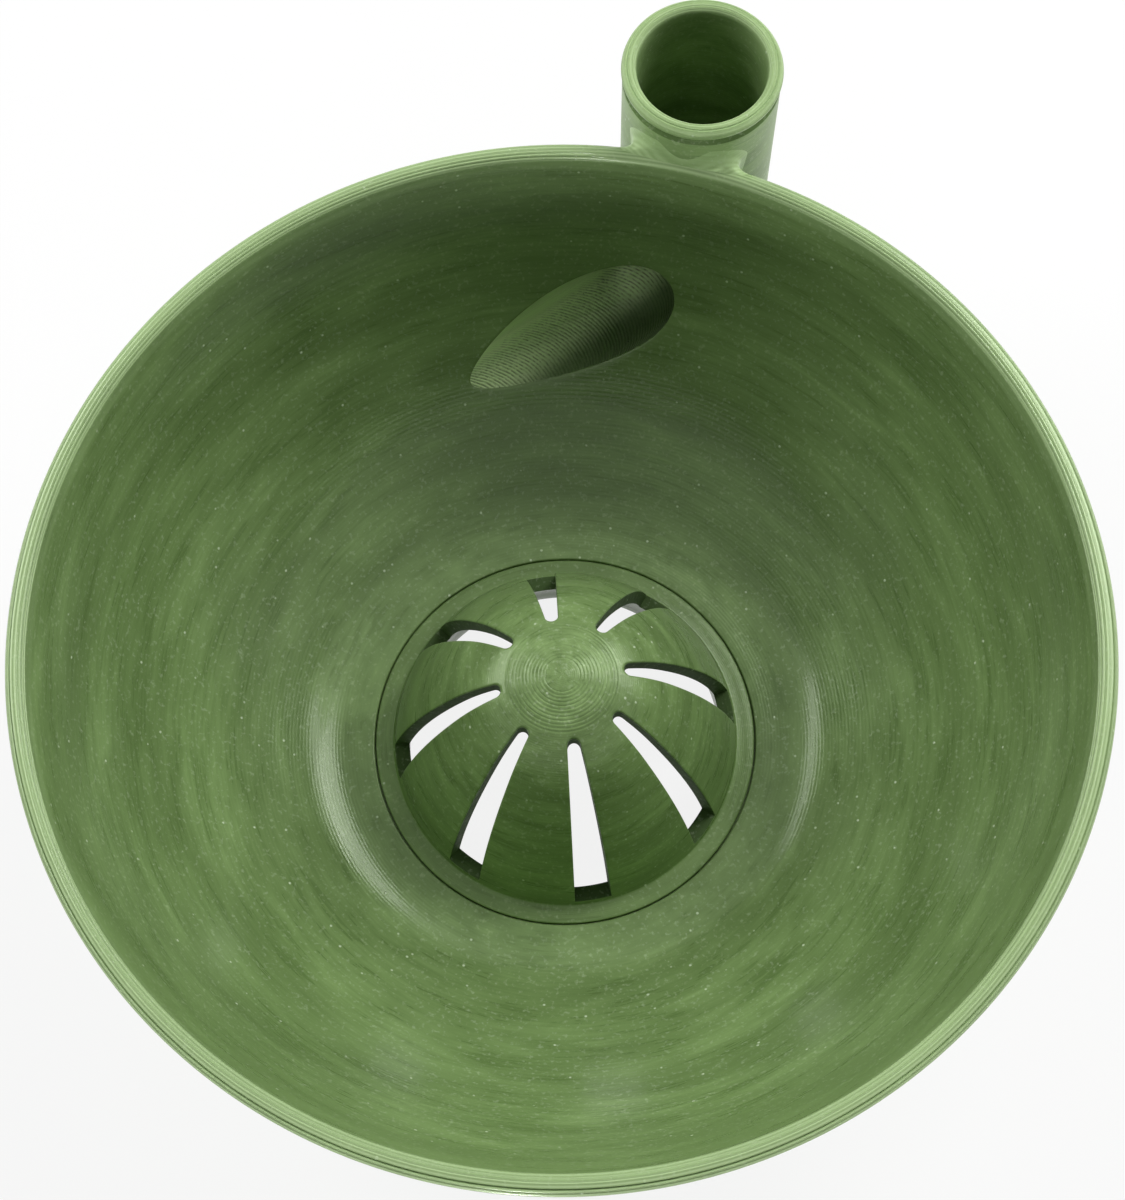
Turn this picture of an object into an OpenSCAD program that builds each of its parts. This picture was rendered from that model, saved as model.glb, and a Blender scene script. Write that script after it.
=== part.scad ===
// Fruit washing colander. Water from a tap enters the side tube, turns through the
// elbow and leaves a slanted jet in the wall, which swirls the water round the bowl.
// The slotted strainer dome stands over the drain in the floor and lifts out.

/* [Bowl] */
// Outer radius of the rim
rim_r = 80; // [78:1:86]
// Height of the rim above the standing plane
bowl_h = 68; // [66:1:72]
// Thickness of the bowl wall
wall_t = 3; // [2.8:0.1:3.4]
// Distance from the foot ring out to where the curve of the wall would meet the floor
floor_edge = 2; // [1.5:0.1:4]
// Thickness of the floor
floor_t = 4; // [3.6:0.1:4.6]
// Radius of the blend between wall and floor
floor_blend = 15; // [10:1:17]

/* [Foot] */
// Outer radius of the foot ring
foot_r = 38; // [37:0.5:42]
// Radial width of the foot ring
foot_w = 4; // [3.6:0.1:4.4]
// Height of the foot ring, which is the clear height under the floor
foot_h = 6; // [5:0.5:8]
// Number of notches that let the water out from under the foot
notch_count = 3; // [2:1:3]
// Width of one notch
notch_w = 14; // [10:1:15]
// Height of one notch
notch_h = 3; // [2:0.5:3.5]

/* [Feed tube] */
// Outer radius of the tube
tube_r = 12.4; // [12.2:0.1:12.6]
// Thickness of the wall of the tube
tube_wall = 2.2; // [2:0.1:2.6]
// Thickness of the rim that is left between the tube and the inside of the bowl
tube_skin = 1; // [1:0.1:1.8]
// Height of the mouth of the tube above the rim
mouth_rise = 9; // [8:0.5:14]
// Radius of the rolled bead round the mouth
bead_r = 1.2; // [1:0.1:1.4]
// Radius of the fillets of the saddle between tube and rim
saddle_fillet = 1.6; // [1.4:0.1:2.2]
// Depth of the saddle below the rim
saddle_depth = 8; // [6:1:10]

/* [Jet] */
// Step from the radius of the tube's bore down to the jet's
jet_step = 2; // [1.8:0.1:2.4]
// Thickness of the wall of the elbow round the jet
jet_wall = 2; // [1.8:0.1:2.2]
// Depth of the middle of the elbow below the rim
jet_depth = 27; // [26:0.5:28]
// Radius of the bend that turns the jet along the wall
bend_r = 36; // [35:0.5:37]
// Angle of that bend
bend_angle = 40; // [39:0.5:41]
// Angle at which the jet dives towards the floor
dive_angle = 11; // [10:0.5:13]
// Depth of the socket that takes the neck of the tube
socket_depth = 5; // [4:0.5:6]

/* [Strainer] */
// Outer radius of the dome at the floor
dome_r = 29; // [28.5:0.1:29.5]
// Height of the crown of the dome above the floor
dome_h = 33; // [32:0.5:34]
// Radius of the curve over the crown
crown_curve = 22; // [21:0.5:23]
// Radius of the curve down the side
side_curve = 60; // [55:1:66]
// Thickness of the dome
dome_t = 2.4; // [2.2:0.1:2.8]
// Width of the flange round the foot of the dome
flange_w = 3; // [2.6:0.1:3.2]
// Thickness of the flange
flange_t = 1.6; // [1.4:0.1:1.8]
// Number of slots
slot_count = 8; // [6:1:10]
// Distance from the axis at which the slots begin
slot_start = 9.8; // [8.5:0.1:11]
// Width of a slot at its upper end
slot_top_w = 2.1; // [1.9:0.1:2.8]
// Width of a slot at the foot of the dome
slot_foot_w = 6.4; // [5.6:0.1:6.8]
// Height of the closed skirt below the slots
slot_sill = 1; // [1:0.5:3]
// Angle from the tube to the first slot
slot_turn = 23.6; // [20:0.1:25]

/* [Hidden] */
$fn = 96;
// Finer steps for the thin saddle on the wide rim
fine_fn = 480;
plastic = "#4f7f3f";
// Radial gap of the strainer in its seat, so that it lifts out freely
lift_gap = 0.3;
// Gap on each side of the tongue of the foot ring in its groove
tongue_gap = 0.1;
// Gap round the neck of the tube in the socket of the elbow
socket_gap = 0.05;
// Clear space between the elbow's socket and the bowl
socket_clear = 0.6;
// Wall left behind the seat of the elbow in the bowl wall
seat_wall = 1.4;
// How far cutting shapes reach past the faces that they cut
over = 1;

// Curve of the bowl: one circle through the rim and the edge of the floor
floor_z = foot_h + floor_t;
floor_r = foot_r + floor_edge;
rim_in_r = rim_r - wall_t;
rim_mid_z = bowl_h - wall_t / 2;
curve_z = (rim_in_r ^ 2 - floor_r ^ 2 + rim_mid_z ^ 2 - floor_z ^ 2) / (2 * (rim_mid_z - floor_z));
curve_in_r = norm([rim_in_r, curve_z - rim_mid_z]);
curve_out_r = norm([rim_r, curve_z - rim_mid_z]);
seat_r = curve_in_r + seat_wall;
blend_z = floor_z + floor_blend;
blend_x = sqrt((curve_in_r - floor_blend) ^ 2 - (curve_z - blend_z) ^ 2);
blend_end = atan2(blend_z - curve_z, blend_x);
rim_in_angle = atan2(rim_mid_z - curve_z, rim_in_r);
rim_out_angle = atan2(rim_mid_z - curve_z, rim_r);
under_angle = asin((foot_h - curve_z) / curve_out_r);
curve_steps = 28;
blend_steps = 10;
round_steps = 16;
blend_step = (blend_end + 90) / blend_steps;
round_step = 180 / round_steps;
rim_round = [rim_r - wall_t / 2, rim_mid_z];

// Dome: a crown circle on the axis inside a side circle that touches it and meets the floor
crown_mid = [0, floor_z + dome_h - crown_curve];
foot_line = [dome_r, floor_z] - crown_mid;
foot_run = norm(foot_line);
mid_run = side_curve - crown_curve;
mid_along = (mid_run ^ 2 - side_curve ^ 2 + foot_run ^ 2) / (2 * foot_run);
mid_across = sqrt(mid_run ^ 2 - mid_along ^ 2);
side_mid = crown_mid + (mid_along * foot_line + mid_across * [foot_line.y, -foot_line.x]) / foot_run;
dome_joint = crown_mid + (crown_mid - side_mid) * (crown_curve + over) / mid_run;
dome_in_r = side_mid.x + sqrt((side_curve - dome_t) ^ 2 - (floor_z - side_mid.y) ^ 2);

// Strainer seat in the floor
spigot_wall = 1.4;
spigot_r = dome_in_r + spigot_wall;
drain_r = spigot_r + lift_gap;
flange_r = dome_r + flange_w;
ledge_r = flange_r + lift_gap;
ledge_z = floor_z - flange_t;

// Tongue of the foot ring
tongue_w = foot_w * 0.4;
tongue_h = floor_t * 0.35;
tongue_mid = foot_r - foot_w / 2;

// Tube and elbow, on the +Y side
tube_y = rim_in_r + tube_skin + tube_r;
tube_bore_r = tube_r - tube_wall;
jet_r = tube_bore_r - jet_step;
mouth_z = bowl_h + mouth_rise;
bead_mid = tube_bore_r + bead_r;
bead_z = mouth_z - bead_r;
groove_depth = 0.5;
groove_h = 1;
groove_r = tube_r - groove_depth;
groove_foot_z = bead_z - bead_r - groove_h;
elbow_z = bowl_h - jet_depth;
neck_r = tube_bore_r + tube_wall / 2;
socket_r = neck_r + socket_gap;
bell_r = tube_r;
bell_z = curve_z - sqrt(curve_out_r ^ 2 - (tube_y - bell_r - socket_clear) ^ 2);
tube_foot_z = bell_z - socket_depth;
jet_run = 36;

// Saddle: fillet circles that touch both the rim and the tube
fillet_y = ((rim_r + saddle_fillet) ^ 2 + tube_y ^ 2 - (tube_r + saddle_fillet) ^ 2) / (2 * tube_y);
fillet_x = sqrt((rim_r + saddle_fillet) ^ 2 - fillet_y ^ 2);
// How far the saddle's fillets cut past the faces that they touch
saddle_bite = 0.2;
flare_r = 4;
saddle_skin = 0.5;
saddle_top = bowl_h + saddle_skin;
saddle_low = bowl_h - saddle_depth;
hook_steps = 13;
hook_angle = hook_steps * round_step;

// Points along an arc round a middle point, from one angle to another
function arc(mid, r, from, to, steps) =
    [for (i = [0:steps])
        let (a = from + (to - from) * i / steps)
        mid + r * [cos(a), sin(a)]];

// Section of the bowl: outside, rounded rim, inside, floor with the strainer's ledge
module bowl_section() {
    polygon(concat(
        [[drain_r, foot_h],
         [tongue_mid - tongue_w / 2 - tongue_gap, foot_h],
         [tongue_mid - tongue_w / 2 - tongue_gap, foot_h + tongue_h],
         [tongue_mid + tongue_w / 2 + tongue_gap, foot_h + tongue_h],
         [tongue_mid + tongue_w / 2 + tongue_gap, foot_h]],
        arc([0, curve_z], curve_out_r, under_angle, rim_out_angle, curve_steps),
        arc(rim_round, wall_t / 2, round_step, 180 - round_step, round_steps - 2),
        arc([0, curve_z], curve_in_r, rim_in_angle, blend_end, curve_steps),
        arc([blend_x, blend_z], floor_blend, blend_end - blend_step, -90, blend_steps - 1),
        [[ledge_r, floor_z],
         [ledge_r, ledge_z],
         [drain_r, ledge_z]]
    ));
}

// Path of the jet with a chosen radius: a bend that dives from the tube's axis, then a
// straight run through the wall into the bowl
module jet_path(r) {
    translate([0, tube_y, elbow_z])
    rotate([dive_angle, 0, 0])
    translate([-bend_r, 0, 0]) {
        rotate([0, 0, -bend_angle])
        rotate_extrude(angle = bend_angle)
        translate([bend_r, 0])
        circle(r);
        rotate([0, 0, -bend_angle])
        translate([bend_r, 0, 0])
        rotate([90, 0, 0])
        cylinder(h = jet_run, r = r);
    }
}

// Inside of the bowl curve, out to a chosen radius
module curve_ball(r) {
    translate([0, 0, curve_z])
    sphere(r);
}

// Upright cylinder on the tube's axis
module on_tube(r, from, to) {
    translate([0, tube_y, from])
    cylinder(h = to - from, r = r);
}

// Bowl with the drain, the seat groove of the tube and the port of the jet
module bowl_shell() {
    color(plastic)
    difference() {
        rotate_extrude()
        bowl_section();
        jet_path(jet_r);
        difference() {
            jet_path(jet_r + jet_wall);
            curve_ball(seat_r);
        }
        on_tube(tube_r, bell_z, bowl_h + over);
    }
}

// Foot ring with a tongue that sits in the groove under the floor
module foot_ring() {
    color(plastic)
    difference() {
        rotate_extrude()
        union() {
            translate([foot_r - foot_w, 0])
            square([foot_w, foot_h]);
            translate([tongue_mid - tongue_w / 2, foot_h - over])
            square([tongue_w, tongue_h - tongue_gap + over]);
        }
        for (i = [0:notch_count - 1])
            rotate([0, 0, 360 * (i + 0.5) / notch_count - 90])
            translate([foot_r - foot_w - over, -notch_w / 2, -over])
            cube([foot_w + 2 * over, notch_w, notch_h + over]);
    }
}

// Tube with a rolled bead and a groove round its mouth, and a neck that is cut clear of the jet
module feed_tube() {
    color(plastic)
    difference() {
        translate([0, tube_y, 0])
        rotate_extrude()
        polygon(concat(
            [[tube_bore_r, tube_foot_z],
             [neck_r, tube_foot_z],
             [neck_r, bell_z],
             [tube_r, bell_z],
             [tube_r, groove_foot_z],
             [groove_r, groove_foot_z + groove_depth],
             [groove_r, bead_z - bead_r]],
            arc([bead_mid, bead_z], bead_r, -45, 180, round_steps)
        ));
        jet_path(jet_r);
    }
}

// Outline of the saddle from above: the neck between rim and tube with concave sides
module saddle_outline() {
    left = [-fillet_x, fillet_y];
    right = [fillet_x, fillet_y];
    inward = (rim_in_r - over) / (rim_r + saddle_fillet);
    difference() {
        polygon([left * inward, left, [0, tube_y], right, right * inward]);
        for (mid = [left, right])
            translate(mid)
            circle(saddle_fillet + saddle_bite);
    }
}

// Section of the saddle round the bowl's axis, hooked over the rim
module saddle_hook() {
    low_angle = asin((saddle_low - curve_z) / curve_out_r);
    polygon(concat(
        arc([0, curve_z], curve_out_r, low_angle, rim_out_angle, blend_steps),
        arc(rim_round, wall_t / 2, round_step, hook_angle, hook_steps - 1),
        [[rim_round.x + wall_t / 2 * cos(hook_angle), mouth_z],
         [tube_y, mouth_z],
         [tube_y, saddle_low]]
    ));
}

// Section of the saddle round the tube's axis, flaring from the plate up the tube
module saddle_flare() {
    polygon(concat(
        [[tube_r, saddle_low - over]],
        arc([tube_r + flare_r, saddle_top + flare_r], flare_r, 180, 270, round_steps / 2),
        [[2 * tube_r, saddle_top],
         [2 * tube_r, saddle_low - over]]
    ));
}

// Saddle that hooks over the rim and cradles the tube
module rim_saddle() {
    color(plastic)
    intersection() {
        translate([0, 0, saddle_low - over])
        linear_extrude(mouth_z - saddle_low)
        saddle_outline();
        rotate_extrude($fn = fine_fn)
        saddle_hook();
        translate([0, tube_y, 0])
        rotate_extrude()
        saddle_flare();
    }
}

// Elbow under the tube: a socket flush with it, a round bottom and the bent jet on its side
module jet_elbow() {
    color(plastic)
    difference() {
        union() {
            on_tube(bell_r, elbow_z, bell_z);
            translate([0, tube_y, elbow_z])
            sphere(bell_r);
            jet_path(jet_r + jet_wall);
        }
        on_tube(bell_r + over, bell_z, mouth_z);
        on_tube(socket_r, tube_foot_z, bell_z + over);
        on_tube(tube_bore_r, elbow_z, bell_z);
        translate([0, tube_y, elbow_z])
        sphere(tube_bore_r);
        jet_path(jet_r);
        curve_ball(seat_r);
    }
}

// One slot from above, widening from its round upper end to the foot of the dome
module slot_outline() {
    round_x = slot_start + slot_top_w / 2;
    translate([round_x, 0])
    circle(slot_top_w / 2);
    polygon([[round_x, -slot_top_w / 2],
             [dome_r + over, -slot_foot_w / 2],
             [dome_r + over, slot_foot_w / 2],
             [round_x, slot_top_w / 2]]);
}

// Section of the dome above the floor, set in from its outside by a chosen distance
module dome_section(inset) {
    top = floor_z + dome_h + over;
    intersection() {
        translate(crown_mid)
        circle(crown_curve - inset);
        polygon([crown_mid, dome_joint, [dome_joint.x, top], [0, top]]);
    }
    intersection() {
        translate(side_mid)
        circle(side_curve - inset);
        polygon([crown_mid,
                 [0, floor_z],
                 [dome_r + over, floor_z],
                 [dome_r + over, dome_joint.y],
                 dome_joint]);
    }
}

// Slotted dome on a flange, with a spigot that drops into the drain
module strainer_dome() {
    color(plastic)
    difference() {
        rotate_extrude()
        difference() {
            union() {
                dome_section(0);
                translate([0, ledge_z])
                square([flange_r, flange_t]);
                translate([0, foot_h])
                square([spigot_r, ledge_z - foot_h]);
            }
            dome_section(dome_t);
            translate([0, foot_h - over])
            square([dome_in_r, floor_z - foot_h + over]);
        }
        for (i = [0:slot_count - 1])
            rotate([0, 0, 90 + slot_turn + 360 * i / slot_count])
            translate([0, 0, floor_z + slot_sill])
            linear_extrude(dome_h)
            slot_outline();
    }
}

bowl_shell();
foot_ring();
feed_tube();
rim_saddle();
jet_elbow();
strainer_dome();
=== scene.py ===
import math

import bmesh
import bpy
import numpy as np
from mathutils import Matrix, Vector
from mathutils.geometry import delaunay_2d_cdt


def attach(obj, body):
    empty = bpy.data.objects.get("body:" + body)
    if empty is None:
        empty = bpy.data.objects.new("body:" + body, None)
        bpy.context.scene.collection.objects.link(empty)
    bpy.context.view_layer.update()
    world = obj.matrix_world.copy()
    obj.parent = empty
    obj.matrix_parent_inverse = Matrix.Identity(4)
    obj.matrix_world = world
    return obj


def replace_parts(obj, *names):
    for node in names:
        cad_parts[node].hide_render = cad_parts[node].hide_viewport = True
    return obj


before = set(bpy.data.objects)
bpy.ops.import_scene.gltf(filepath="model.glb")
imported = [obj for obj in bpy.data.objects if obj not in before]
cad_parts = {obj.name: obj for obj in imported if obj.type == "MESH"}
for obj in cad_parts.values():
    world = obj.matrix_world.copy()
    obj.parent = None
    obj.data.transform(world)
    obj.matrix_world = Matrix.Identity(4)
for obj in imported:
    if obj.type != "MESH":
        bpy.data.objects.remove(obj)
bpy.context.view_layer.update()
scene = bpy.context.scene
mm = 0.001  # every size below is in millimetres
print("frame loaded:", ", ".join(sorted(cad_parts)))


def toLinear(hexColour):
    parts = [int(hexColour[i:i + 2], 16) / 255 for i in (1, 3, 5)]
    return [c / 12.92 if c <= 0.04045 else ((c + 0.055) / 1.055) ** 2.4 for c in parts] + [1.0]


# adds a node; a short kind is a shader's, and a node given as an input stands for its first output
def addNode(tree, kind, inputs=None, **settings):
    node = tree.nodes.new(kind if "Node" in kind else "ShaderNode" + kind)
    for name, value in settings.items():
        setattr(node, name, value)
    for key, value in (inputs or {}).items():
        if isinstance(value, bpy.types.Node):
            value = value.outputs[0]
        if isinstance(value, bpy.types.NodeSocket):
            tree.links.new(value, node.inputs[key])
        else:
            node.inputs[key].default_value = value
    return node


waveStep = 0.314  # a wave texture's bands are this far apart at scale 1


# Printed PLA, laid down in thin layers. The eye gets a smooth gloss broken into streaks that run
# round the piece, layer lines across steep faces, and rings where a face lies nearly flat.
def printedPla(name, look):
    material = bpy.data.materials.new(name)
    material.use_nodes = True
    tree = material.node_tree
    shader = tree.nodes["Principled BSDF"]
    place = addNode(tree, "TexCoord")
    centred = addNode(tree, "Mapping", {
        "Vector": place.outputs["Object"], "Location": (0, -look["axisY"] * mm, 0)})
    spot = addNode(tree, "SeparateXYZ", {0: centred})
    flat = addNode(tree, "CombineXYZ", {"X": spot.outputs["X"], "Y": spot.outputs["Y"]})
    reach = addNode(tree, "VectorMath", {0: flat}, operation="LENGTH")
    turned = addNode(tree, "VectorMath", {0: flat}, operation="NORMALIZE")

    # streaks, long round the axis and narrow down the wall, with finer marks and soft clouds in them
    around = addNode(tree, "VectorMath", {0: turned, "Scale": look["streaksRound"]}, operation="SCALE")
    down = addNode(tree, "Math", {
        0: reach.outputs["Value"], 1: look["lean"], 2: spot.outputs["Z"]}, operation="MULTIPLY_ADD")
    narrow = addNode(tree, "Math", {0: down, 1: 1 / (look["streakWide"] * mm)}, operation="MULTIPLY")
    rise = addNode(tree, "CombineXYZ", {"Z": narrow})
    streakSpot = addNode(tree, "VectorMath", {0: around, 1: rise}, operation="ADD")
    streak = addNode(tree, "TexNoise", {
        "Vector": streakSpot, "Scale": 1.0, "Detail": 4.0, "Roughness": 0.55, "Distortion": 0.4})
    cloud = addNode(tree, "TexNoise", {"Vector": streakSpot, "Scale": look["cloud"], "Detail": 2.0})
    finer = addNode(tree, "VectorMath", {0: streakSpot, 1: look["fineMarks"]}, operation="MULTIPLY")
    fineMark = addNode(tree, "TexNoise", {"Vector": finer, "Scale": 1.0, "Detail": 3.0, "Roughness": 0.6})
    bothMarks = addNode(tree, "Mix", {
        "Factor": look["fineShare"], "A": streak, "B": fineMark}, data_type="FLOAT")
    streakMix = addNode(tree, "MapRange", {
        "Value": bothMarks.outputs["Result"], "From Min": 0.3, "From Max": 0.7})
    tone = addNode(tree, "Mix", {
        "Factor": streakMix, "A": toLinear(look["deep"]), "B": toLinear(look["pale"])}, data_type="RGBA")
    cloudMix = addNode(tree, "MapRange", {
        "Value": cloud.outputs["Fac"], "From Min": 0.38, "From Max": 0.7, "To Max": look["cloudDepth"]})
    shine = addNode(tree, "MapRange", {
        "Value": bothMarks.outputs["Result"], "From Min": 0.3, "From Max": 0.7,
        "To Min": look["rough"][0], "To Max": look["rough"][1]})

    # tiny blobs of plastic that the nozzle left, a few millimetres apart, as real bumps; their pale dots, and
    # the pale specks in the grit between them, are painted glints
    blobs = addNode(tree, "TexVoronoi", {
        "Vector": place.outputs["Object"], "Scale": 1 / (look["blobApart"] * mm)})
    blobShare = look["blobWide"] / look["blobApart"]
    blobDot = addNode(tree, "MapRange", {
        "Value": blobs.outputs["Distance"], "From Min": blobShare, "From Max": blobShare / 2})
    blobPick = addNode(tree, "Math", {0: blobs.outputs["Color"], 1: 0.5}, operation="GREATER_THAN")
    blobAndGlint = addNode(tree, "Math", {0: blobDot, 1: blobPick}, operation="MULTIPLY")
    grit = addNode(tree, "TexNoise", {
        "Vector": place.outputs["Object"], "Scale": 1 / (look["gritSize"] * mm), "Detail": 2.0})
    glintSpecks = addNode(tree, "MapRange", {
        "Value": grit.outputs["Fac"], "From Min": 0.57, "From Max": 0.74, "To Max": look["glintSpecks"]})
    dots = addNode(tree, "Math", {
        0: blobAndGlint, 1: look["glintShare"], 2: glintSpecks}, operation="MULTIPLY_ADD", use_clamp=True)
    coats = [(cloudMix, "shade"), (dots, "blobAndGlint")]  # colours laid over the tone, each by its own mark

    # layers are 0.2 mm in the print; on steep faces they are drawn coarser, so that they show
    upright = addNode(tree, "SeparateXYZ", {0: place.outputs["Normal"]})
    flatness = addNode(tree, "Math", {0: upright.outputs["Z"]}, operation="ABSOLUTE")
    lying = addNode(tree, "MapRange", {
        "Value": flatness, "From Min": look["lying"][0], "From Max": look["lying"][1]})
    layers = addNode(tree, "TexWave", {
        "Vector": centred, "Scale": waveStep / (look["layer"] * mm),
        "Distortion": 1.2, "Detail": 2.0, "Detail Scale": 0.3}, bands_direction="Z")
    if "contour" in look:  # edges of thin layers, seen on a gentle slope as ridges that bend up its sides
        alongJet = addNode(tree, "VectorMath", {
            0: place.outputs["Object"], 1: look["jetWay"]}, operation="DOT_PRODUCT")
        bent = addNode(tree, "Math", {
            0: spot.outputs["Z"], 1: look["bend"], 2: alongJet.outputs["Value"]}, operation="MULTIPLY_ADD")
        ridgeSpot = addNode(tree, "CombineXYZ", {"X": bent, "Y": spot.outputs["Y"], "Z": spot.outputs["X"]})
        rings = addNode(tree, "TexWave", {
            "Vector": ridgeSpot, "Scale": waveStep / (look["contour"] * mm),
            "Distortion": 3.0, "Detail": 3.0, "Detail Scale": 0.7}, bands_direction="X")

        # painted light and shade: one side is painted pale, the other side is painted darker as shade,
        # and the steps between the layers are painted in their own shade, broken up by noise
        start, full, share = look["shadeSide"]
        across = addNode(tree, "VectorMath", {
            0: place.outputs["Object"], 1: look["acrossJet"]}, operation="DOT_PRODUCT")
        shadeSide = addNode(tree, "MapRange", {
            "Value": across.outputs["Value"], "From Min": start * mm, "From Max": full * mm, "To Max": share},
            interpolation_type="SMOOTHSTEP")
        shaded = addNode(tree, "MapRange", {
            "Value": rings.outputs["Fac"], "From Min": 0.1, "From Max": 0.7, "To Min": 0.7, "To Max": 0.0})
        shadeBreakup = addNode(tree, "MapRange", {
            "Value": grit.outputs["Fac"], "From Min": 0.35, "From Max": 0.6, "To Min": 0.2})
        ridged = addNode(tree, "Math", {0: shaded, 1: shadeBreakup}, operation="MULTIPLY")
        between = addNode(tree, "Math", {0: ridged, 1: lying}, operation="MULTIPLY")
        coats += [(shadeSide, "shade"), (between, "stepShade")]
    else:  # rows of laid plastic, seen as rings on a flat top
        rings = addNode(tree, "TexWave", {
            "Vector": flat, "Scale": waveStep / (look["ring"] * mm),
            "Distortion": 0.6, "Detail": 2.0, "Detail Scale": 0.3}, wave_type="RINGS", rings_direction="Z")
    if "edge" in look:  # painted light: the top edge is painted paler, in lines along its layers
        low, high, share = look["edge"]
        thin = addNode(tree, "MapRange", {
            "Value": spot.outputs["Z"], "From Min": low * mm, "From Max": high * mm, "To Max": share})
        line = addNode(tree, "Math", {
            0: rings.outputs["Fac"], 1: 1 - look["edgeFill"], 2: look["edgeFill"]}, operation="MULTIPLY_ADD")
        lined = addNode(tree, "Math", {0: thin, 1: line}, operation="MULTIPLY")
        coats.append((lined, "thin"))
    for mark, coat in coats:
        tone = addNode(tree, "Mix", {
            "Factor": mark, "A": tone.outputs["Result"], "B": toLinear(look[coat])}, data_type="RGBA")

    # relief: layers or rings by how the face lies, then grit, streaks and blobs on top
    steepRelief = addNode(tree, "Math", {
        0: layers.outputs["Fac"], 1: look["layerShare"]}, operation="MULTIPLY")
    flatRelief = addNode(tree, "Math", {
        0: rings.outputs["Fac"], 1: look["ringShare"]}, operation="MULTIPLY")
    relief = addNode(tree, "Mix", {"Factor": lying, "A": steepRelief, "B": flatRelief}, data_type="FLOAT")
    for mark, share in ((grit, look["grit"]), (streak, look["wavy"]), (blobAndGlint, look["blobHigh"])):
        relief = addNode(tree, "Math", {0: mark, 1: share, 2: relief}, operation="MULTIPLY_ADD")
    bump = addNode(tree, "Bump", {"Height": relief, "Distance": look["relief"] * mm, "Strength": 1.0})

    tree.links.new(tone.outputs["Result"], shader.inputs["Base Color"])
    tree.links.new(shine.outputs[0], shader.inputs["Roughness"])
    tree.links.new(bump.outputs[0], shader.inputs["Normal"])
    tree.links.new(bump.outputs[0], shader.inputs["Coat Normal"])
    shader.inputs["IOR"].default_value = look["ior"]
    shader.inputs["Specular Tint"].default_value = toLinear(look["tint"])
    shader.inputs["Coat Weight"].default_value = look["coat"]
    shader.inputs["Coat Roughness"].default_value = look["coatRough"]
    return material


# what all the prints share; each piece below says only what it has of its own
green = dict(
    # the near-white is the colour of painted glints, and the light green after it the colour of painted light
    # on edges
    deep="#5E7743", pale="#87A268", shade="#546A3C", blobAndGlint="#DCEACC", thin="#B7D09B", tint="#C2DCA4",
    axisY=0, lean=0.0, cloud=0.4, cloudDepth=0.4, fineMarks=(1.4, 1.4, 6.0), fineShare=0.36,
    blobApart=3.0, blobWide=0.28, glintShare=0.6, blobHigh=3.0, gritSize=0.7, glintSpecks=0.18,
    layer=0.6, layerShare=0.5, ring=0.6, ringShare=0.6, lying=(0.55, 0.85), edgeFill=0.35,
    grit=1.2, wavy=4.0, relief=0.016, rough=(0.26, 0.42), ior=1.46, coat=0.0, coatRough=0.12,
)
tubeGreen = dict(green, axisY=90.4, streaksRound=1.6, streakWide=2.6)
bowlPla = printedPla("printed_pla_bowl", dict(  # the glossiest of them
    green, streaksRound=4.2, lean=0.8, streakWide=4.4, cloud=0.3, cloudDepth=0.6, rough=(0.22, 0.4),
    # painted light: paler up to the top of the rim, for the light on it
    ring=0.52, grit=0.8, relief=0.012, coat=0.35, edge=(64.5, 67.6, 0.8)))
footPla = printedPla("printed_pla_foot", dict(
    green, streaksRound=5.0, lean=0.8, streakWide=1.6, ring=0.9, grit=0.8, relief=0.012, coat=0.15))
tubePla = printedPla("printed_pla_tube", dict(  # duller, and painted paler for the light on it, with painted highlight lines up the bead
    tubeGreen, deep="#718C55", pale="#98B27B", shade="#5F7946", cloudDepth=0.5, rough=(0.3, 0.48),
    edge=(74.4, 76.2, 0.65)))
groovePla = printedPla("printed_pla_groove", dict(  # darker under the bead, since little light gets in
    tubeGreen, deep="#4A6035", pale="#607A47", shade="#43572F", rough=(0.4, 0.6)))
saddlePla = printedPla("printed_pla_saddle", dict(  # painted light: paler all over and palest low down, for the light on the web
    tubeGreen, deep="#829E64", pale="#ABC68E", shade="#6F8A54", grit=1.6, edge=(72.5, 68.5, 0.7)))
strainerPla = printedPla("printed_pla_strainer", dict(
    green, streaksRound=2.6, lean=-0.8, streakWide=2.4, cloudDepth=0.55, rough=(0.22, 0.4),
    ring=0.31, grit=2.0, wavy=3.0, relief=0.012, coat=0.25))
channelPla = printedPla("printed_pla_channel", dict(  # painted pale, as painted light in the dim channel, with plain ridges
    green, deep="#C6E6A0", pale="#EAFACA", shade="#3E5330", stepShade="#465E36",
    axisY=90.4, streaksRound=0.8, streakWide=1.2, cloud=0.5, cloudDepth=0.3,
    contour=0.75, jetWay=(-0.766, -0.643, 0), bend=-1.5,
    acrossJet=(0.766, -0.643, 0), shadeSide=(-54.5, -49.5, 0.85),  # painted shade on one side: begins, is full, and how strong
    ringShare=1.0, lying=(0.25, 0.6), grit=1.0, wavy=1.0, relief=0.08))
slotPla = printedPla("printed_pla_slot_faces", dict(  # dull, and painted dark as the shade inside the slots
    green, deep="#3C4F2C", pale="#4A6038", shade="#33452A", streaksRound=1.6, lean=-0.8, streakWide=0.8,
    cloudDepth=0.5, rough=(0.6, 0.8), grit=1.5, wavy=2.0, relief=0.02))
print("materials ready")


def unit(ways):
    return ways / np.linalg.norm(ways, axis=-1, keepdims=True)


def arcPoints(mid, radius, start, end, count):
    angles = np.radians(np.linspace(start, end, count))
    return np.column_stack((mid[0] + radius * np.cos(angles), mid[1] + radius * np.sin(angles)))


def straightPoints(radius, start, end, count):
    return np.column_stack((np.full(count, radius), np.linspace(start, end, count)))


def lengthAlong(points):
    return np.concatenate(([0], np.cumsum(np.linalg.norm(np.diff(points, axis=0), axis=1))))


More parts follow.
